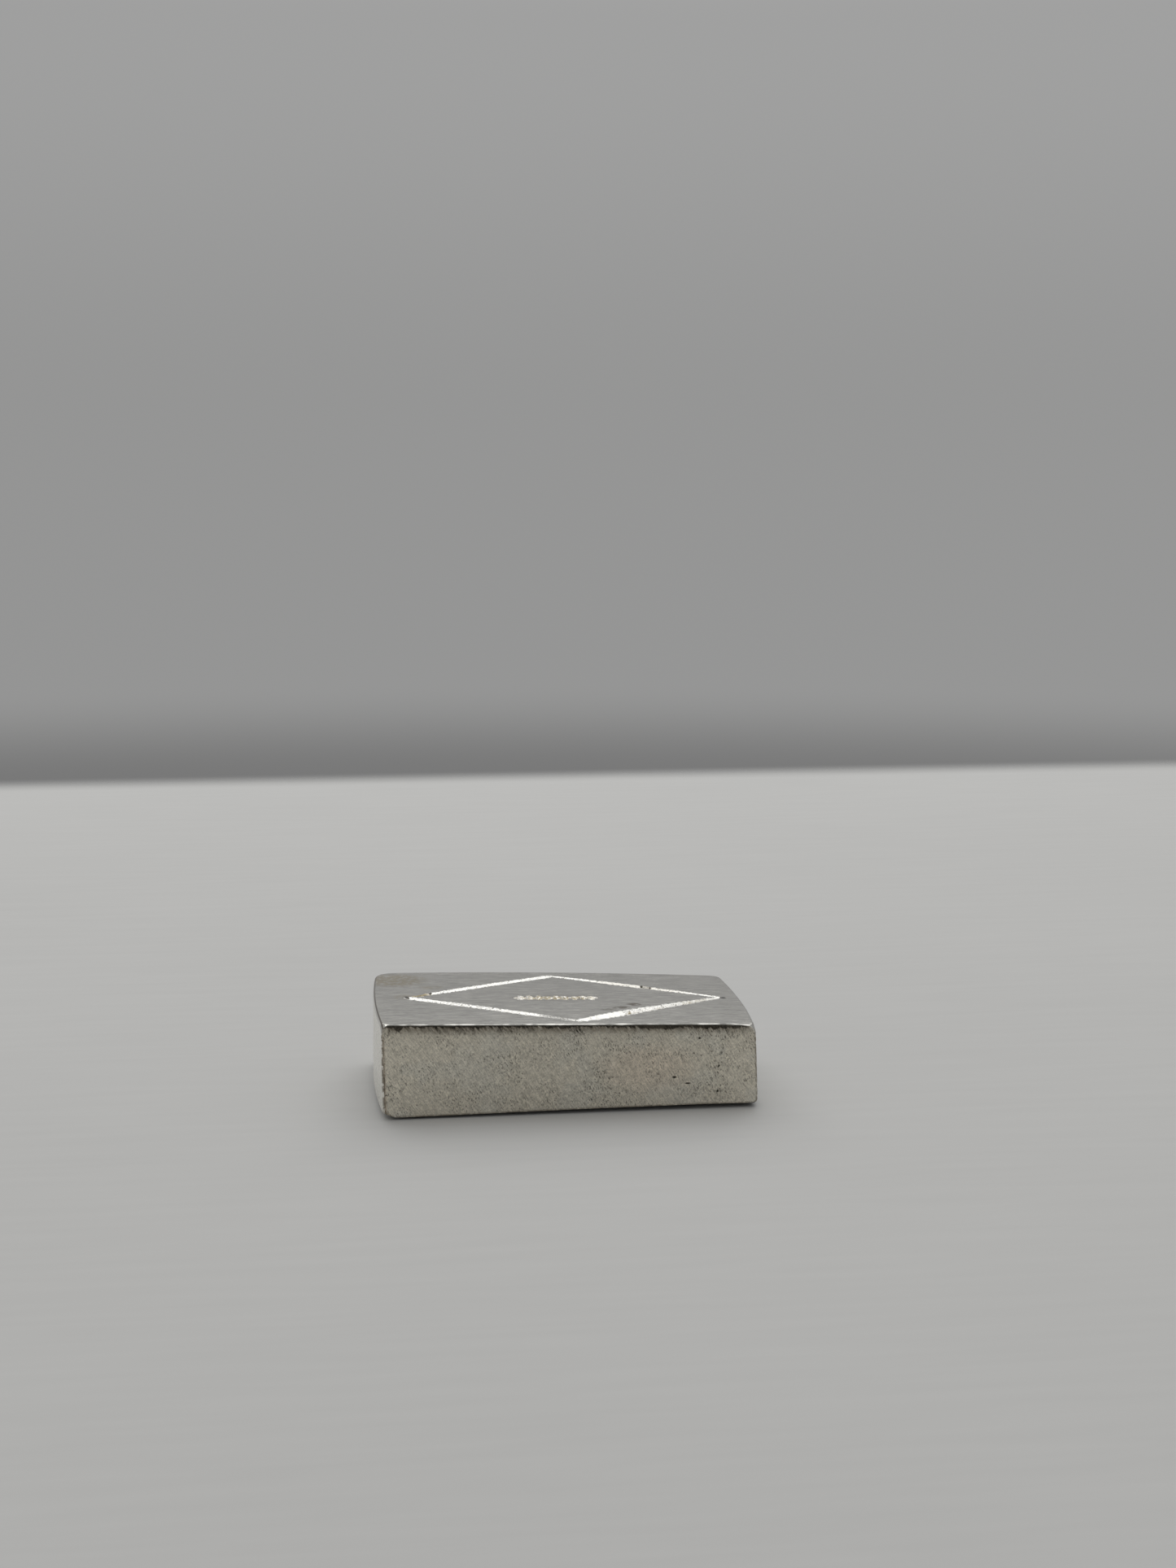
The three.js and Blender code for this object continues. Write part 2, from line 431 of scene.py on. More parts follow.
class Blank:
    """The cast blank as a stack of outlines. X starts at the thick end, Y at the saw cut."""

    FINENESS = 60  # points on one side of an outline, and on one corner

    def __init__(self, sizes):
        self.sizes = sizes
        self.middle_height = self.top_height(sizes.length / 2)

    def top_height(self, x):
        s = self.sizes
        return s.thick_end_height + (s.thin_end_height - s.thick_end_height) * x / s.length

    def levels(self, detail):
        """The foot's and the top edge's share of their reach at each level, and its height as a
        fixed part and a share of the top face's height."""
        s, found = self.sizes, []
        for turn in np.linspace(0, math.pi / 2, detail.foot_rows, endpoint=False):
            found.append((1 - math.sin(turn), 0, s.foot_rise * (1 - math.cos(turn)), 0))
        for up in np.linspace(0, 1, detail.side_rows, endpoint=False):
            found.append((0, 0, s.foot_rise * (1 - up) - s.top_edge_rise * up, up))
        for turn in np.linspace(0, math.pi / 2, detail.edge_rows + 1):
            found.append((0, 1 - math.cos(turn), -s.top_edge_rise * (1 - math.sin(turn)), 1))
        return found

    def sides(self, foot, top, height):
        """The lines of the front, the thin end, the back and the thick end."""
        s = self.sizes
        foot_in, top_in = s.foot_reach * foot, s.top_edge_reach * top
        inset = foot_in + top_in
        thin_end = s.length - s.thin_end_lean * height - s.thin_end_foot_reach * foot - top_in
        fillet = 1 / (1 + foot_in)
        worn = s.thin_end_front_radius * fillet * (1 - top) + s.worn_corner_radius * top
        bow = s.thick_end_foot_crown * (1 - height) + s.thick_end_top_crown * height
        x = inset, thin_end, thin_end, inset
        y = (
            inset - s.sawn_off_at_thick_end, inset - s.sawn_off_at_thin_end,
            s.thin_end_width - inset, s.thick_end_width - inset,
        )
        radii = 0, worn, s.thin_end_back_radius * fillet, s.thick_end_back_radius * fillet
        corners, straights = np.column_stack([x, y]), []
        for i, crown in enumerate((0, s.thin_end_crown, s.back_crown, bow)):
            after = (i + 1) % len(corners)
            span = math.dist(corners[i], corners[after])
            shares = np.linspace(radii[i] / span, 1 - radii[after] / span, self.FINENESS)
            straights.append(bowed_side(corners[i], corners[after], crown, shares))
        front, thin, back, thick = straights
        rounding, half = np.linspace(0, 1, self.FINENESS), self.FINENESS // 2
        fillets = [
            bezier(before[-1], corner, after[0], rounding)
            for before, corner, after in zip(straights, corners[1:], straights[1:])
        ]
        return (
            front,
            np.vstack([fillets[0], thin, fillets[1][:half]]),
            np.vstack([fillets[1][half - 1 :], back, fillets[2][:half]]),
            np.vstack([fillets[2][half - 1 :], thick]),
        )

    def ring(self, level, along, across):
        """A ring of points, anticlockwise from the front of the thick end."""
        foot, top, fixed, following = level
        height = (fixed + following * self.middle_height) / self.middle_height
        front, thin, back, thick = self.sides(foot, top, height)
        thin = behind_the_saw(thin[::-1])[::-1]
        thick = behind_the_saw(thick)
        whole_front = np.vstack([front, thin[:1]])
        x = thick[-1, 0] + along * (thin[0, 0] - thick[-1, 0])
        y = np.interp(x, whole_front[:, 0], whole_front[:, 1])
        y[0], y[-1] = thick[-1, 1], thin[0, 1]
        parts = [
            np.column_stack([x, y]),
            at_shares(thin, across),
            at_shares(back, along),
            at_shares(thick, 1 - across[::-1]),
        ]
        plan = np.vstack([part[:-1] for part in parts])
        return np.column_stack([plan, fixed + following * self.top_height(plan[:, 0])])


# ---- the bar's fine mesh


def grid_quads(grid):
    return np.stack([grid[:-1, :-1], grid[1:, :-1], grid[1:, 1:], grid[:-1, 1:]], axis=-1).reshape(-1, 4)


def grid_edges(grid):
    """Pairs of neighbouring points of a grid, along and across."""
    pairs = (grid[:, :-1], grid[:, 1:]), (grid[:-1], grid[1:])
    return np.vstack([np.stack(pair, -1).reshape(-1, 2) for pair in pairs])


class BarMesh:
    """The bar's points and grids, and the creases that its mesh follows."""

    UNDERSIDE = 0.985  # size of the underside's coarse outline, as a share of the foot's

    def __init__(self, blank, detail):
        self.blank, self.step, self.edge_rows = blank, detail.underside_step, detail.edge_rows
        self.nx, self.ny = detail.cells_along, detail.cells_across
        along, across = np.linspace(0, 1, self.nx + 1), self.spaced_across()
        rings = np.array([blank.ring(level, along, across) for level in blank.levels(detail)])
        self.rows, self.round = rings.shape[:2]
        self.points = rings.reshape(-1, 3)
        self.wall = np.arange(self.rows * self.round).reshape(self.rows, self.round)
        self.top = self.add_grid(self.wall[-1], along, across)
        centre = rings[0].mean(axis=0)
        coarse = centre + (rings[0][:: self.step] - centre) * self.UNDERSIDE
        self.under_ring = len(self.points) + np.arange(len(coarse))
        self.points = np.vstack([self.points, coarse])
        shares = (np.linspace(0, 1, cells // self.step + 1) for cells in (self.nx, self.ny))
        self.under = self.add_grid(self.under_ring, *shares)

        self.creases, self.depth = [], np.zeros(len(self.points))
        self.is_sawn, self.is_top, self.is_edge = np.zeros((3, len(self.points)), bool)
        self.is_top[self.top] = True
        self.is_edge[self.wall[-self.edge_rows - 1 :]] = True

    def spaced_across(self):
        """Shares across the bar, closer together at the turned edge."""
        width = self.blank.sizes.thin_end_width
        fine, rest = np.array([0, 0.05, 0.11, 0.2]), 0.33
        return np.concatenate([fine / width, np.linspace(rest / width, 1, self.ny + 1 - len(fine))])

    def add_grid(self, ring, u, v):
        """Fills a ring of points with a grid. Returns the numbers of its points."""
        nx, ny = len(u) - 1, len(v) - 1
        ring = np.append(ring, ring[0])
        grid = np.zeros((nx + 1, ny + 1), int)
        lines = (
            ring[: nx + 1], ring[nx : nx + ny + 1],
            ring[nx + ny : 2 * nx + ny + 1][::-1], ring[2 * nx + ny :][::-1],
        )
        grid[:, 0], grid[-1], grid[:, -1], grid[0] = lines
        grid[1:-1, 1:-1] = len(self.points) + np.arange((nx - 1) * (ny - 1)).reshape(nx - 1, ny - 1)
        inner = coons(*(self.points[line] for line in lines), u, v)[1:-1, 1:-1]
        self.points = np.vstack([self.points, inner.reshape(-1, 3)])
        return grid

    def drop(self):
        """How far each point lies below the top face's plane."""
        return self.blank.top_height(self.points[:, 0]) - self.points[:, 2]

    def quads(self):
        """All four-cornered faces: the wall's, the top's and the underside's."""
        wall = grid_quads(np.hstack([self.wall, self.wall[:, :1]]))[:, [0, 3, 2, 1]]
        return np.vstack([wall, grid_quads(self.top), grid_quads(self.under)[:, ::-1]])

    def underside_rim(self):
        """Triangles between the foot's fine ring and the underside's coarse one."""
        fine, coarse = (np.append(ring, ring[0]).tolist() for ring in (self.wall[0], self.under_ring))
        faces, half = [], self.step // 2
        for k, (here, after) in enumerate(zip(coarse, coarse[1:])):
            first = k * self.step
            for j in range(self.step):
                faces.append([fine[first + j + 1], fine[first + j], here if j < half else after])
            faces.append([here, after, fine[first + half]])
        return faces


def follow_line(points, edges, value, fixed):
    """Moves the nearest points along mesh edges to where `value` changes sign. Returns them, and
    adds them to the `fixed` ones, which may not move."""
    a, b = edges.T
    crossing = value[a] * value[b] < 0
    a, b = a[crossing], b[crossing]
    part = value[a] / (value[a] - value[b])
    from_a = (part < 0.5) & ~fixed[a] | fixed[b]
    free = ~(fixed[a] & fixed[b])
    target = (points[a] + (points[b] - points[a]) * part[:, None])[free]
    mover = np.where(from_a, a, b)[free]
    far_first = np.argsort(-np.linalg.norm(target - points[mover], axis=1))
    points[mover[far_first]] = target[far_first]
    moved = np.unique(mover)
    value[moved] = 0
    fixed[moved] = True
    return moved


def smooth_step(value, low, high):
    t = np.clip((value - low) / (high - low), 0, 1)
    return t * t * (3 - 2 * t)


def fade(distance, reach):
    """1 at no distance, falling evenly to 0 at `reach`."""
    return np.clip(1 - distance / reach, 0, 1)


def ripple(points, wavelength, seed):
    """Smooth noise from -1 to 1 over points in millimetres."""
    shift = Vector((seed * 13.7, seed * 7.1, seed * 3.3))
    return np.array([noise.noise(Vector(p) / wavelength + shift) for p in points])


def ripple_along(samples, wavelength, seed):
    """Smooth noise from -1 to 1 along one line."""
    nothing = np.zeros_like(samples)
    return ripple(np.column_stack([samples, nothing, nothing]), wavelength, seed)


class Groove:
    """One V-shaped stroke of the engraver, from one tip of the rhombus to the next."""

    SAMPLES = 400

    def __init__(self, start, end, width, slimmed, engraving, seed):
        self.start, self.slimmed, self.run = np.array(start), slimmed, math.dist(start, end)
        self.forward = (np.array(end) - self.start) / self.run
        self.left = np.array([-self.forward[1], self.forward[0]])
        self.width, self.engraving, self.seed = width, engraving, seed

    def sideways(self, plan):
        return (plan - self.start) @ self.left

    def half_width(self, plan):
        e = self.engraving
        along = (plan - self.start) @ self.forward + e.groove_overrun
        whole = self.run + 2 * e.groove_overrun
        ends = np.clip(np.minimum(along, whole - along) / e.groove_taper, 0, 1)
        slim = np.ones(len(plan))
        for place, part, reach in self.slimmed:
            slim -= part * fade(np.linalg.norm(plan - place, axis=1), reach)
        samples = np.linspace(0, whole, self.SAMPLES)
        waver = ripple_along(samples, 2.2, self.seed) + 0.7 * ripple_along(samples, 0.5, self.seed + 4)
        waver = 1 + e.groove_waver * np.interp(along, samples, waver)
        return self.width / 2 * np.sqrt(ends) * slim * waver

    def outline(self, plan):
        return np.abs(self.sideways(plan)) - self.half_width(plan)

    def ridges(self):
        """The lines along which the cut's walls meet."""
        return [self.sideways]

    def depth(self, plan):
        half = self.half_width(plan)
        inside = 1 - np.abs(self.sideways(plan)) / np.maximum(half, TINY)
        return np.clip(inside, 0, None) * half * self.engraving.groove_steepness


class Lozenge:
    """One small four-sided cut of the row in the middle."""

    def __init__(self, centre, engraving):
        self.centre, self.deepest = centre, engraving.mark_depth
        self.reach = engraving.mark_length / 2, engraving.mark_width / 2

    def offsets(self, plan):
        return ((plan - self.centre) / self.reach).T

    def outline(self, plan):
        return np.abs(self.offsets(plan)).sum(axis=0) - 1

    def ridges(self):
        return [lambda plan, axis=axis: self.offsets(plan)[axis] for axis in (0, 1)]

    def depth(self, plan):
        return np.clip(-self.outline(plan), 0, None) * self.deepest


def rhombus(blank, e):
    """The cuts of the engraving: four grooves and a row of lozenges."""
    s = blank.sizes
    tip_x = (e.tip_to_thick_end + s.length - e.tip_to_thin_end) / 2
    tip_y = (e.tip_to_sawn_side + min(s.thick_end_width, s.thin_end_width) - e.tip_to_back) / 2
    thick, thin = (e.tip_to_thick_end, tip_y), (s.length - e.tip_to_thin_end, tip_y)
    front = (tip_x + e.front_tip_shift, e.tip_to_sawn_side)
    back = (tip_x - e.back_tip_shift, 2 * tip_y - e.tip_to_sawn_side)
    # Where a groove is slimmer: the tip, by which share, and how far from the tip.
    slim, faint, worn = (thin, 0.65, 11), (thick, 0.75, 7), (front, 0.45, 6)
    start, point = (back, 0.5, 9), (front, 0.5, 3)
    first = tip_x - e.marks_back - e.mark_spacing * (e.mark_count - 1) / 2
    row = tip_y - e.marks_forward
    return [
        Groove(thick, front, e.front_left_groove_width, [worn], e, 1),
        Groove(front, thin, e.front_right_groove_width, [slim, point], e, 2),
        Groove(thin, back, e.back_groove_width, [slim, start], e, 3),
        Groove(back, thick, e.back_groove_width, [faint], e, 4),
        *(Lozenge((first + k * e.mark_spacing, row), e) for k in range(e.mark_count)),
    ]


def saw_bar(bar):
    """Cuts the blank off at y = 0, with a clean crease where the cut meets the foot."""
    points, front = bar.points, bar.wall[:, : bar.nx + 1]
    fixed = np.zeros(len(points), bool)
    bar.foot_crease = follow_line(points, grid_edges(front), points[:, 1].copy(), fixed)
    points[bar.foot_crease, 1] = 0
    points[:, 1] = np.maximum(points[:, 1], 0)
    bar.creases.append(bar.foot_crease)
    bar.is_sawn[front] = points[front, 1] < TINY


def engrave(bar, engraving):
    """Cuts the rhombus and the lozenges into the top face."""
    cuts = rhombus(bar.blank, engraving)
    points, top, edges = bar.points, np.unique(bar.top), grid_edges(bar.top)
    fixed = np.ones(len(points), bool)
    fixed[bar.top[1:-1, 1:-1]] = False

    def crease(line, used):
        value = np.ones(len(points))
        value[top] = line(points[top, :2])
        bar.creases.append(follow_line(points, used, value, fixed))

    for cut in cuts:
        crease(cut.outline, edges)
        for ridge in cut.ridges():
            within = cut.depth(points[:, :2]) > 0
            crease(ridge, edges[within[edges].any(axis=1)])
    plan, s = points[top, :2], bar.blank.sizes
    depth = np.max([cut.depth(plan) for cut in cuts], axis=0)
    crowned = (1 - (2 * plan[:, 0] / s.length - 1) ** 2) * (1 - (2 * plan[:, 1] / s.thin_end_width - 1) ** 2)
    points[top, 2] = bar.blank.top_height(plan[:, 0]) + s.top_crown * np.clip(crowned, 0, None) - depth
    bar.depth[top] = depth


def along_noise(bar, at, wavelength, seed):
    """Smooth noise from -1 to 1 along the bar, read at the places `at`."""
    margin, drawn = 5, 1200
    samples = np.linspace(-margin, bar.blank.sizes.length + margin, drawn)
    return np.interp(at, samples, ripple_along(samples, wavelength, seed))


def roughen_saw_cut(bar, w):
    """Makes the sawn face uneven, and tears metal out of it under the top edge."""
    points, sawn = bar.points, bar.is_sawn
    x, z = points[sawn, 0], points[sawn, 2]
    drop = bar.drop()[sawn]
    slant = x - SAW_SLANT * drop
    coarse, fine = along_noise(bar, slant, 3.1, 12), along_noise(bar, slant, 0.5, 13)
    reach = w.tear_height * (1 + 0.6 * coarse + 0.7 * fine)
    torn = smooth_step(reach - drop, 0, 0.12) * smooth_step(drop, 0.06, 0.14)
    uneven = 0.5 + 0.5 * ripple(points[sawn], 3.5, 14)
    from_ends = np.minimum(x - x.min(), x.max() - x)
    inner = smooth_step(from_ends, 0, 1.5) * smooth_step(drop, 0, 0.6) * smooth_step(z, 0.5, 1.4)
    points[sawn, 1] += w.saw_waviness * uneven * inner + w.tear_depth * torn


def turn_edge(bar, w):
    """Breaks the edge between the saw cut and the top face into a narrow, wavering bevel."""
    points = bar.points
    x, y = points[:, 0], points[:, 1]
    drop, both_faces = bar.drop(), bar.is_sawn | bar.is_top
    waver = along_noise(bar, x, 0.55, 11) + 0.7 * along_noise(bar, x, 3.1, 12)
    width = w.burr_width * (1 + w.burr_waver * waver)
    lift = np.where(both_faces, np.clip(width - y - drop, 0, None) / 2, 0)
    low = 0.35 + along_noise(bar, x, 1.9, 21) + 0.7 * along_noise(bar, x, 0.7, 22)
    sag = w.edge_sag * np.clip(low, 0, 1) * (fade(y, 0.5) ** 2 * fade(drop, 1.2))
    points[:, 1] += lift
    points[:, 2] -= lift + np.where(both_faces, sag, 0)


def break_upright_edges(bar, w):
    """Bevels the saw cut's two upright edges, more so at their foot."""
    points, sawn, reach = bar.points, bar.is_sawn, 1.2
    x, height = points[sawn, 0], points[sawn, 2] / bar.blank.sizes.thick_end_height
    width = w.side_edge_top * height + w.side_edge_foot * (1 - height)
    near_thick, near_thin = fade(x - x.min(), reach), fade(x.max() - x, reach)
    points[sawn, 0] += width * near_thick - w.side_edge_top * near_thin


def wear_foot(bar, w):
    """Wears the lower edge of the saw cut away, most of all short of the thin end."""
    x, y, z = bar.points.T
    most_worn, spared, rise = 26, 0.6, 2.5
    wear = w.foot_wear * (smooth_step(x, 0, most_worn) - spared * smooth_step(x, 34, 41))
    bar.points[:, 2] += wear * fade(y, w.foot_wear_reach) * fade(z, rise)


def roughen_skin(bar, w):
    """Makes the cast ends, back and foot slightly uneven."""
    points, s = bar.points, bar.blank.sizes
    skin = np.flatnonzero(~(bar.is_sawn | bar.is_top))
    x, y, z = points[skin].T
    inward = np.column_stack([(s.length / 2 - x) * 0.4, s.thin_end_width / 2 - y])
    inward /= np.maximum(np.linalg.norm(inward, axis=1), TINY)[:, None]
    uneven = 0.5 + 0.35 * ripple(points[skin], 5, 15) + 0.15 * ripple(points[skin], 1.3, 16)
    drop = bar.drop()[skin]
    inner = smooth_step(drop, 0.2, 1.2) * smooth_step(z, 0.15, 1) * smooth_step(y, 0.3, 2.5)
    points[skin, :2] += inward * (w.cast_waviness * uneven * inner)[:, None]


def wear_corners(bar, w):
    """Lowers the top face's front corners: one by a facet, one by two slopes and a rolled edge."""
    points = bar.points
    x, y = points[:, 0], points[:, 1]
    thick, thin = points[bar.is_sawn, 0].min(), points[bar.is_sawn, 0].max()

    def slope(height, along, across, from_end):
        return height - along * from_end - across * y

    facet = slope(w.corner_facet, 0.7, 0.5, x - thick)
    shallow = slope(w.corner_wear * 0.3, 0.06, 0.03, thin - x)
    steep = slope(w.corner_wear, 0.58, 0.3, thin - x)
    wear = np.clip(np.max([facet, shallow, steep], axis=0), 0, None)
    roll_start, roll_full, roll_curve, wear_height = 2.4, 0.3, 0.28, 4
    roll = w.corner_roll * smooth_step(x, thin - roll_start, thin - roll_full) + TINY
    wear += np.clip(roll - y, 0, None) ** 2 / roll * roll_curve
    below = (bar.drop() - w.tear_height) / wear_height
    points[:, 2] -= wear * (1 - np.clip(below, 0, 1))


def distance_to(bar, lines):
    """How far each point of the bar lies from the nearest line."""
    samples, shares = [], np.linspace(0, 1, 5, endpoint=False)[:, None]
    for line in lines:
        places = bar.points[line]
        for start, end in zip(places, places[1:]):
            samples.extend(start + (end - start) * shares)
    tree = kdtree.KDTree(len(samples))
    for number, sample in enumerate(samples):
        tree.insert(sample, number)
    tree.balance()
    return np.array([tree.find(point)[2] for point in bar.points])


def kept_distances(bar):
    """What the finishes need to know of each point."""
    wall, nx, edge = bar.wall, bar.nx, bar.rows - bar.edge_rows - 1
    upright = [column[bar.is_sawn[column]] for column in (wall[:edge, 0], wall[: edge + 1, nx])]
    foot = bar.foot_crease[np.argsort(bar.points[bar.foot_crease, 0])]
    thick_rim = wall[-1 - bar.edge_rows // 3, 2 * nx + bar.ny :]
    return {
        "from_sawn_edge": distance_to(bar, [wall[-1, : nx + 1], wall[edge:, nx]]),
        "from_other_edges": distance_to(bar, [*upright, thick_rim, foot]),
        "cut_depth": bar.depth,
    }


def bar_faces(bar):
    """All faces, the four-cornered ones parted where a crease runs through them."""
    quads = bar.quads()
    whole = -1
    split_at = np.full(len(quads), whole)
    for crease in bar.creases:
        on = np.zeros(len(bar.points), bool)
        on[crease] = True
        held = on[quads]
        for corner in (0, 1):
            split_at[held[:, corner] & held[:, corner + 2] & (split_at == whole)] = corner
    halves = []
    for corner in (0, 1):
        turned = np.roll(quads[split_at == corner], -corner, axis=1)
        halves += [turned[:, [0, 1, 2]], turned[:, [0, 2, 3]]]
    return [*quads[split_at == whole].tolist(), *np.vstack(halves).tolist(), *bar.underside_rim()]


def flat_map(bar, faces):
    """Where each corner of each face lies on a flat map of the bar, from 0 to 1: the top face, the
    front and the back in one column, and the underside and the ends in a narrower one."""
    walls = bar.points[bar.wall]
    along = run_along(np.vstack([walls[bar.rows // 2], walls[bar.rows // 2, :1]]))
    down = run_along(walls[::-1])[::-1]
    counts = np.array([len(face) for face in faces])
    corners, first = np.concatenate(faces), np.append(0, np.cumsum(counts)[:-1])

    def of_face(pick, values):
        """The least or the greatest value at the corners of each corner's face."""
        return np.repeat(pick.reduceat(values, first), counts)

    is_top = of_face(np.minimum, bar.is_top[corners])
    is_under = of_face(np.maximum, corners) >= bar.under_ring[0]
    row, column = np.divmod(np.where(is_top | is_under, 0, corners), bar.round)
    wraps = of_face(np.maximum, column) - of_face(np.minimum, column) > 1
    place_round = np.where(wraps & (column == 0), bar.round, column)
    starts = (bar.nx, bar.nx + bar.ny, 2 * bar.nx + bar.ny)
    side = np.searchsorted(starts, of_face(np.minimum, place_round), "right")

    plan = bar.points[corners, :2]
    unrolled = np.column_stack([along[place_round], down[row, column]])
    local = np.where(is_top[:, None], plan, np.where(is_under[:, None], plan[:, ::-1], unrolled))
    on_wall = ~(is_top | is_under)
    front, thin, back, thick = (on_wall & (side == number) for number in range(4))
    gap, narrower = 0.5, 0.68
    placed, left = np.zeros_like(local), gap
    for scale, parts in ((1, (is_top, front, back)), (narrower, (is_under, thick, thin))):
        up, widest = gap, 0
        for part in parts:
            inner = (local[part] - local[part].min(axis=0)) * scale
            placed[part] = inner + (left, up)
            up += inner[:, 1].max() + gap
            widest = max(widest, inner[:, 0].max())
        left = left + widest + gap
    return placed / (placed.max() + gap)


GROUND, SAWN, CAST, BRIGHT = range(4)


def finish_of(bar, face):
    """The number of a face's finish."""
    if bar.is_top[face].all():
        return BRIGHT if bar.depth[face].any() else GROUND
    if bar.is_sawn[face].all():
        return SAWN
    return GROUND if bar.is_edge[face].all() else CAST


# ---- finishes


def ground_silver(f):
    """The ground top face: faint brushing along the bar, stains, and dark thin outlines."""
    s = Surface("ground_silver")
    brushing = s.noise((0.45, 2.4, 1), 4, 0.7)
    fine = s.noise((2.4, 12, 1), 2, 0.5)
    cloud, ragged = s.noise(0.32, 3, 0.55), s.noise(1.6, 4, 0.6)
    stains = (
        s.near(-18.2, 7.6, 4.4, 3.6) * 1.35
        + s.near(-14.3, 4.2, 1.8, 1.2) * 0.7
        + s.near(-17.3, -0.1, 1.8, 1.4) * 0.8
    )
    stained = (stains * ragged.rising(0.3, 0.6)).least(1)
    smudge = (
        s.near(5.1, -5.9, 1.4, 0.7) * 0.7
        + s.near(6.5, -5, 1.3, 0.7)
        + s.near(8.1, -3.7, 1.1, 0.8) * 1.2
    ) * ragged.rising(0.36, 0.54)
    halo = s.near(-0.4, -0.8, 7, 2) * ragged.rising(0.3, 0.5)
    hole = s.near(-17.2, -0.15, 0.4, 0.6) + s.near(18.8, -0.6, 0.4, 0.6)
    rim = s.attribute("from_other_edges").falling(0.02, 0.14) * ragged.rising(0.1, 0.4)
    shade = cloud.swing(0.2) + brushing.swing(1) + fine.swing(0.5) + 1
    base = (stained * 0.8).blend(s.shaded(f.ground, shade), f.tarnish)
    base = (smudge * 0.9 + halo * 0.3 + rim * 0.95).least(1).blend(base, f.stain)
    base = hole.least(1).blend(base, f.grime)
    roughness = brushing.swing(0.12) + f.ground_roughness
    return s.metal(base, roughness, s.bump(brushing * 0.5 + fine * 0.3, 0.004))


def sawn_silver(f):
    """The saw cut: slanting marks, specks, a torn band of dirt and painted shade on top, and a turned edge
    lightened partly by a painted highlight.
    """
    s = Surface("sawn_silver")
    drop, from_edge = s.attribute("from_sawn_edge"), s.attribute("from_other_edges")
    slant = s.x + s.z * SAW_SLANT
    streaks = s.strokes(57, (1, 1, 0.09), 3, 0.6)
    crossing = s.strokes(-38, (0.6, 1, 0.12), 2, 0.5)
    grain, mottle, cloud = s.noise(6, 3, 0.7), s.noise(1.6, 3, 0.6), s.noise(0.28, 3)
    patches = s.noise(0.45, 2).rising(0.38, 0.62)
    flecks = s.strokes(60, (0.34, 1, 0.12), 2, 0.6).rising(0.56, 0.66)
    upright = s.strokes(95, (0.45, 1, 0.13), 2, 0.6).rising(0.6, 0.68)
    specks = (flecks * (patches * 0.7 + 0.4)).most(upright * (patches * 0.8 + 0.2))
    pits = (
        s.mark(11.35, 3.7, 0.34, 0.16)
        + s.mark(12.85, 2.95, 0.4, 0.12)
        + s.mark(14.1, 8, 0.2, 0.16)
        + s.mark(16.15, 1.95, 0.18, 0.18)
    )
    dotted = s.mark(15, 6.2, 2.8, 0.4) + s.mark(15.8, 4.9, 1.4, 0.8)
    dots = s.noise(3, 1).rising(0.58, 0.66) * dotted

    teeth = s.noise(1, 3, 0.6, s.vector(slant * 2.2, drop * 0.8))
    hatching = s.noise(1, 2, 0.5, s.vector(slant * 2.8, drop * 0.7, 7)).rising(0.5, 0.6)
    runs = s.noise(1, 1, 0.5, s.vector(slant * 0.3, 3))
    corner = s.mark(-20.25, 9.9, 0.7, 0.9).rising(0.1, 0.5)
    worst = s.mark(13, 9.2, 7, 3).rising(0, 0.5) * 0.18 + s.mark(-18.55, 10.2, 0.5, 1) * 0.45
    whole = s.x.falling(18.9, 19.9) * (1 - corner * 0.9)
    reach = teeth.swing(1) + runs.swing(0.6) + worst + 0.29
    torn = (reach - drop).rising(-0.08, 0.08) * whole
    fuzz = drop.falling(0.2, 1.3) * (streaks + teeth * 0.5).rising(0.5, 0.82) * whole
    veil = drop.falling(0.3, 2.4) * 0.11
    hatched = hatching * drop.falling(0.25, 1.5) * (patches * 0.5 + 0.5) * whole
    # A brown line along the upright edges, and along the foot crease, where it is painted shade.
    line = from_edge.falling(0.05, 0.22) * mottle.rising(0.35, 0.55)
    rusty = from_edge.falling(0.14, 0.36) * s.mark(-20.3, 4.5, 1.2, 5.5).rising(0, 0.4)
    facet_foot = drop.falling(0.12, 0.24) * corner
    # The strip under the turned edge is lightened towards the bright colour: partly the burr's brighter
    # metal, partly a painted highlight.
    turned = (drop - teeth.swing(0.2)).falling(0.1, 0.15) * 0.4
    coarse = grain.rising(0.4, 0.6)

    shade = streaks.swing(1.2) + crossing.swing(0.5) + grain.swing(1) + mottle.swing(0.6)
    shade = shade + s.x * s.x * 0.00022 + 1.07
    rosy = s.mark(8.5, 4.8, 6.5, 3.4) * 0.42 + rusty * coarse * 0.8
    cool = cloud.rising(0.48, 0.62) * 0.32
    plain = s.shaded(rosy.blend(cool.blend(f.sawn, f.sawn_cool), f.sawn_rosy), shade)
    brown = (fuzz * 0.75 + veil + line * 0.6 + rusty * 0.2 + facet_foot * 0.8).least(1)
    # Dirt and painted shade in the torn band: the tear is blended towards the grime colour to stand for the
    # shadow in its undercut.
    tear_dirt_and_shade = torn * (coarse * 0.25 + 0.65)
    dirty = (specks * 0.6 + pits + dots * 0.85 + tear_dirt_and_shade + hatched * 0.65).least(0.95)
    base = turned.blend(dirty.blend(brown.blend(plain, f.stain), f.grime), f.bright)
    roughness = mottle.swing(0.2) + f.sawn_roughness + dirty * 0.2 - turned * 0.15
    relief = streaks * 0.5 + crossing * 0.2 + grain * 0.3 - specks * 0.5 - pits * 1.5 - torn * 1.6
    return s.metal(base, roughness, s.bump(relief, 0.03))


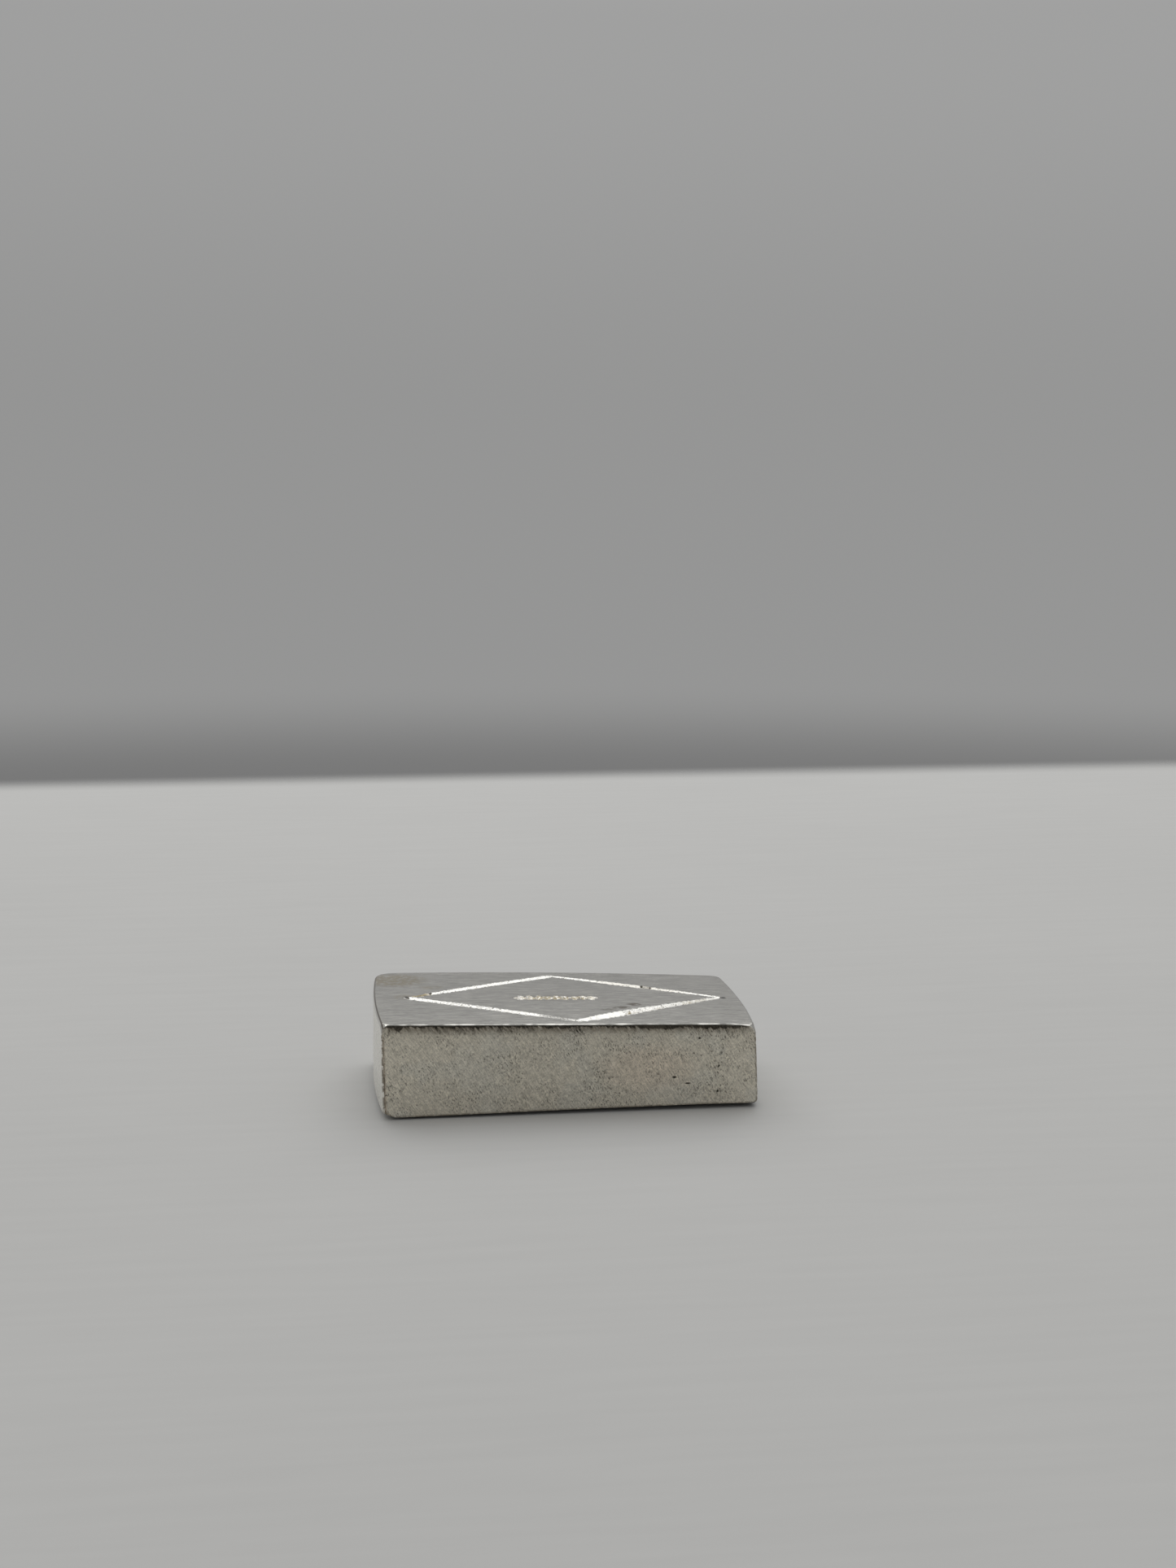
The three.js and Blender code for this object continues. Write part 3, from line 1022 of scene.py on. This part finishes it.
def cast_silver(f):
    """The cast ends, back and foot: a satin skin with soft swells and small pits, with painted shade on the
    foot and under the saw cut.
    """
    s = Surface("cast_silver")
    grain, blotch, cloud = s.noise(7, 4, 0.6), s.noise(0.7, 3, 0.55), s.noise(0.2, 2)
    rub = s.noise((1.2, 1.2, 9), 3, 0.55)
    swell = s.noise(0.38, 1, 0.4)
    pits = s.node("TexVoronoi", None, {"Vector": s.place, "Scale": 1.1}, "Distance").falling(0.06, 0.16)
    # Brown rims along the upright edges and the thick end's top; along the foot crease the rim is painted
    # shade.
    rim = s.attribute("from_other_edges").falling(0.05, 0.3) * s.noise(3, 3, 0.6).rising(0.38, 0.55)
    shade = grain.swing(0.06) + blotch.swing(0.06) + cloud.swing(0.16) + rub.swing(0.2) + 0.97
    # Painted shade: the low foot and the strip under the saw cut's overhang are blended towards the grime
    # colour, standing for the shadow under the bar.
    overhang_shade = s.z.falling(0.6, 0.75) * s.y.falling(-10.8, -9.8)
    foot = s.z.falling(0.35, 0.6).most(overhang_shade * s.x.rising(-18, -8))
    dulled = (blotch.rising(0.46, 0.74) * 0.08 + pits * 0.4 + rim * 0.8).least(1)
    base = (foot * 0.95).blend(dulled.blend(s.shaded(f.cast, shade), f.stain), f.grime)
    roughness = blotch.swing(0.25) + f.cast_roughness + pits * 0.2
    relief = grain * 0.2 + blotch * 0.8 + rub * 0.3 - pits * 0.9
    return s.metal(base, roughness, s.bump(relief, 0.03, s.bump(swell, 0.22)))


def bright_silver(f):
    """The walls of the engraved cuts: bright, with chatter, chips and dirt."""
    s = Surface("bright_silver")
    chatter = s.noise((3.2, 2.4, 2), 3, 0.6)
    drag, run = s.noise(9, 3, 0.6), s.noise(0.55, 2)
    ragged, chips = s.noise(3, 4, 0.7), s.noise(5, 2, 0.6)
    soiled = s.near(4.2, -8.4, 3.8, 2.6).falling(0, 0.3)
    groove_slope = 0.5713  # of the front right groove: across by along the bar
    front_wall = (s.y - s.x * groove_slope).falling(-11.3, -11.1)
    chipped = chips.falling(0.46, 0.52) * front_wall * s.near(14, -3.2, 5, 4).rising(0, 0.3)
    nicks = (chips.falling(0.36, 0.42) * soiled).most(chipped)
    holes = (
        s.near(-17.15, -0.3, 0.35, 0.4)
        + s.near(-14.49, 1.67, 0.3, 0.5)
        + s.near(10.15, 4.6, 0.2, 0.4)
        + s.near(11.05, 3.95, 0.12, 0.25)
        + s.near(18.55, -0.55, 0.2, 0.5)
        + s.near(-3.8, 6.7, 0.3, 0.5)
    ).rising(0.2, 0.6)
    worn = (
        s.near(-1.5, -9.2, 3, 2) * ragged.rising(0.3, 0.45)
        + s.near(10.7, 4.25, 0.75, 0.9).rising(0, 0.4) * 0.85
        + s.near(-9, -4.5, 9, 4) * ragged.rising(0.46, 0.56) * 0.5
    )
    dull = (
        s.near(-15.9, 0.85, 2.1, 1.1) * 1.3
        + s.near(15.3, -2.1, 4.2, 2.4) * ragged.rising(0.42, 0.54) * 0.4
        + s.near(7.2, -6.6, 0.25, 0.6)
        + s.near(10, 4.5, 9, 5) * 0.25
        + s.near(-0.4, -0.8, 6.5, 1.8) * ragged.rising(0.38, 0.54) * 1.1
    )
    deep = (s.attribute("cut_depth") * 2.2 + ragged.swing(2) + run.swing(1.2)).rising(0.5, 0.9)
    shade = chatter.swing(0.5) + 1.15 - soiled * 0.15
    dirty = (deep * 0.4 * soiled + dull * 0.85).least(1)
    base = dirty.blend((worn * 0.8).least(1).blend(s.shaded(f.bright, shade), f.worn_cut), f.tarnish)
    base = (holes + nicks * 0.75).least(1).blend(base, f.grime)
    roughness = chatter.swing(0.2) + f.bright_roughness + dirty * 0.25
    return s.metal(base, roughness, s.bump((chatter * 0.8 + drag * 0.4) * (soiled * 0.7 + 0.3), 0.03))


def pale_floor(stage):
    """The floor: a matte pale sheet whose far edge fades into the surroundings."""
    s = Surface("pale_floor")
    weave = s.noise((0.05, 0.55, 1), 3, 0.5)
    shade = weave.swing(0.07) + s.noise(0.012, 2).swing(0.05) + 1
    matte = {"Base Color": s.shaded(stage.floor, shade), "Roughness": 0.9, "Specular IOR Level": 0.2}
    far = s.y.rising(stage.floor_back - stage.floor_fade, stage.floor_back + stage.floor_fade)
    layers = {0: far, 1: s.node("BsdfPrincipled", None, matte), 2: s.node("BsdfTransparent")}
    s.node("OutputMaterial", sockets={"Surface": s.node("MixShader", None, layers)})
    return s.material


# ---- operators


def add_object(scene, name, data):
    made = bpy.data.objects.new(name, data)
    scene.collection.objects.link(made)
    return made


class INGOT_OT_bar(Operator):
    """Makes the silver bar: the sawn blank, its engraving, its wear and its finishes."""

    bl_idname = "ingot.bar"
    bl_label = "Silver bar"
    bl_options = {"REGISTER", "UNDO"}

    WEAR = (roughen_saw_cut, turn_edge, break_upright_edges, wear_foot, roughen_skin, wear_corners)

    def execute(self, context):
        scene = context.scene
        bar = BarMesh(Blank(in_millimetres(scene.ingot_blank)), scene.ingot_detail)
        wear = in_millimetres(scene.ingot_wear)
        saw_bar(bar)
        engrave(bar, in_millimetres(scene.ingot_engraving))
        for step in self.WEAR:
            step(bar, wear)
        low, high = (np.array(corner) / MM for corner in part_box(NODE))
        bar_low, bar_high = bar.points.min(axis=0), bar.points.max(axis=0)
        shift = (low + high) / 2 - (bar_low + bar_high) / 2
        shift[2] = low[2] - bar_low[2]
        points, faces = np.clip(bar.points + shift, low, high) * MM, bar_faces(bar)

        mesh = bpy.data.meshes.new("silver_bar")
        mesh.from_pydata(points.tolist(), [], faces)
        for finish in (ground_silver, sawn_silver, cast_silver, bright_silver):
            mesh.materials.append(finish(scene.ingot_finish))
        for name, values in kept_distances(bar).items():
            mesh.attributes.new(name, "FLOAT", "POINT").data.foreach_set("value", values)
        mesh.uv_layers.new(name="OFBake").uv.foreach_set("vector", flat_map(bar, faces).ravel())
        mesh.polygons.foreach_set("material_index", [finish_of(bar, face) for face in faces])
        mesh.polygons.foreach_set("use_smooth", [True] * len(faces))
        mesh.set_sharp_from_angle(angle=scene.ingot_detail.sharp_angle)
        if mesh.validate():
            raise RuntimeError("the bar's mesh has faults")
        piece = add_object(scene, "silver_bar", mesh)
        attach(piece, "root")
        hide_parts(NODE)
        return {"FINISHED"}


class INGOT_OT_stage(Operator):
    """Makes the floor, the soft light and the camera."""

    bl_idname = "ingot.stage"
    bl_label = "Stage"
    bl_options = {"REGISTER", "UNDO"}

    def execute(self, context):
        scene = context.scene
        stage = in_millimetres(scene.ingot_stage)
        for make in (self.make_floor, self.make_surroundings, self.make_lamp, self.make_camera):
            make(scene, stage)
        scene.view_settings.view_transform = "Standard"
        return {"FINISHED"}

    def make_floor(self, scene, stage):
        side, near, far = stage.floor_side, -stage.floor_front, stage.floor_back + stage.floor_fade
        corners = [(-side, near, 0), (side, near, 0), (side, far, 0), (-side, far, 0)]
        mesh = bpy.data.meshes.new("floor")
        mesh.from_pydata([Vector(corner) * MM for corner in corners], [], [(0, 1, 2, 3)])
        mesh.materials.append(pale_floor(stage))
        add_object(scene, "floor", mesh)

    def make_surroundings(self, scene, stage):
        """A wall round the horizon, with a painted shadow low down where it meets the floor, and a sky that
        brightens overhead.
        """
        scene.world = bpy.data.worlds.new("studio")
        node = Signal(bare_tree(scene.world)).node
        x, y, up = node("TexCoord", output="Generated").parts()
        # The step of 0.11 low down is a painted shadow at the foot of the wall.
        wall = up.rising(-0.155, -0.115) * 0.11 + (stage.horizon - 0.1) + up.rising(0, 0.17) * 0.05
        sky = up.rising(0.165, 0.215) * 0.03 + up.rising(0.3, 0.6) * (stage.overhead - stage.horizon - 0.07)
        level = (wall + sky * (y * 0.7 + 1)) * (x * 0.04 + 1)
        glow = node("Background", None, {"Color": (1, 1, 0.995, 1), "Strength": level})
        node("OutputWorld", sockets={"Surface": glow})

    def make_lamp(self, scene, stage):
        data = bpy.data.lights.new("overhead", "AREA")
        data.shape, data.size, data.energy = "SQUARE", stage.lamp_size * MM, stage.lamp_power
        lamp = add_object(scene, "overhead", data)
        lamp.location = Vector((stage.lamp_side, stage.lamp_back, stage.lamp_height)) * MM
        lamp.rotation_euler = (-lamp.location).to_track_quat("-Z", "Y").to_euler()

    def make_camera(self, scene, stage):
        data = bpy.data.cameras.new("camera")
        data.lens, data.sensor_width = stage.lens, stage.sensor
        data.clip_start, data.clip_end = 0.005, 10
        place = Vector((stage.camera_side, stage.camera_front, stage.camera_height)) * MM
        scene.camera = add_object(scene, "camera", data)
        scene.camera.matrix_world = (
            Matrix.Translation(place)
            @ Matrix.Rotation(-stage.camera_heading, 4, "Z")
            @ Matrix.Rotation(math.pi / 2 - stage.camera_pitch, 4, "X")
            @ Matrix.Rotation(stage.camera_roll, 4, "Z")
        )


class INGOT_PT_sidebar(Panel):
    """Lists what can be made."""

    bl_label = "Metal Ingot"
    bl_space_type = "VIEW_3D"
    bl_region_type = "UI"
    bl_category = "Ingot"

    def draw(self, context):
        for operator in OPERATORS:
            self.layout.operator(operator.bl_idname)


SETTINGS = {
    "ingot_blank": BlankSizes,
    "ingot_engraving": EngravingSizes,
    "ingot_wear": WearSizes,
    "ingot_detail": MeshDetail,
    "ingot_finish": FinishSettings,
    "ingot_stage": StageSettings,
}
OPERATORS = (INGOT_OT_bar, INGOT_OT_stage)
CLASSES = (*SETTINGS.values(), *OPERATORS, INGOT_PT_sidebar)


def register():
    for cls in CLASSES:
        bpy.utils.register_class(cls)
    for name, group in SETTINGS.items():
        setattr(bpy.types.Scene, name, PointerProperty(type=group))


def unregister():
    for name in SETTINGS:
        delattr(bpy.types.Scene, name)
    for cls in reversed(CLASSES):
        bpy.utils.unregister_class(cls)


def main():
    register()
    bpy.ops.ingot.bar()
    bpy.ops.ingot.stage()


if __name__ == "__main__":
    main()
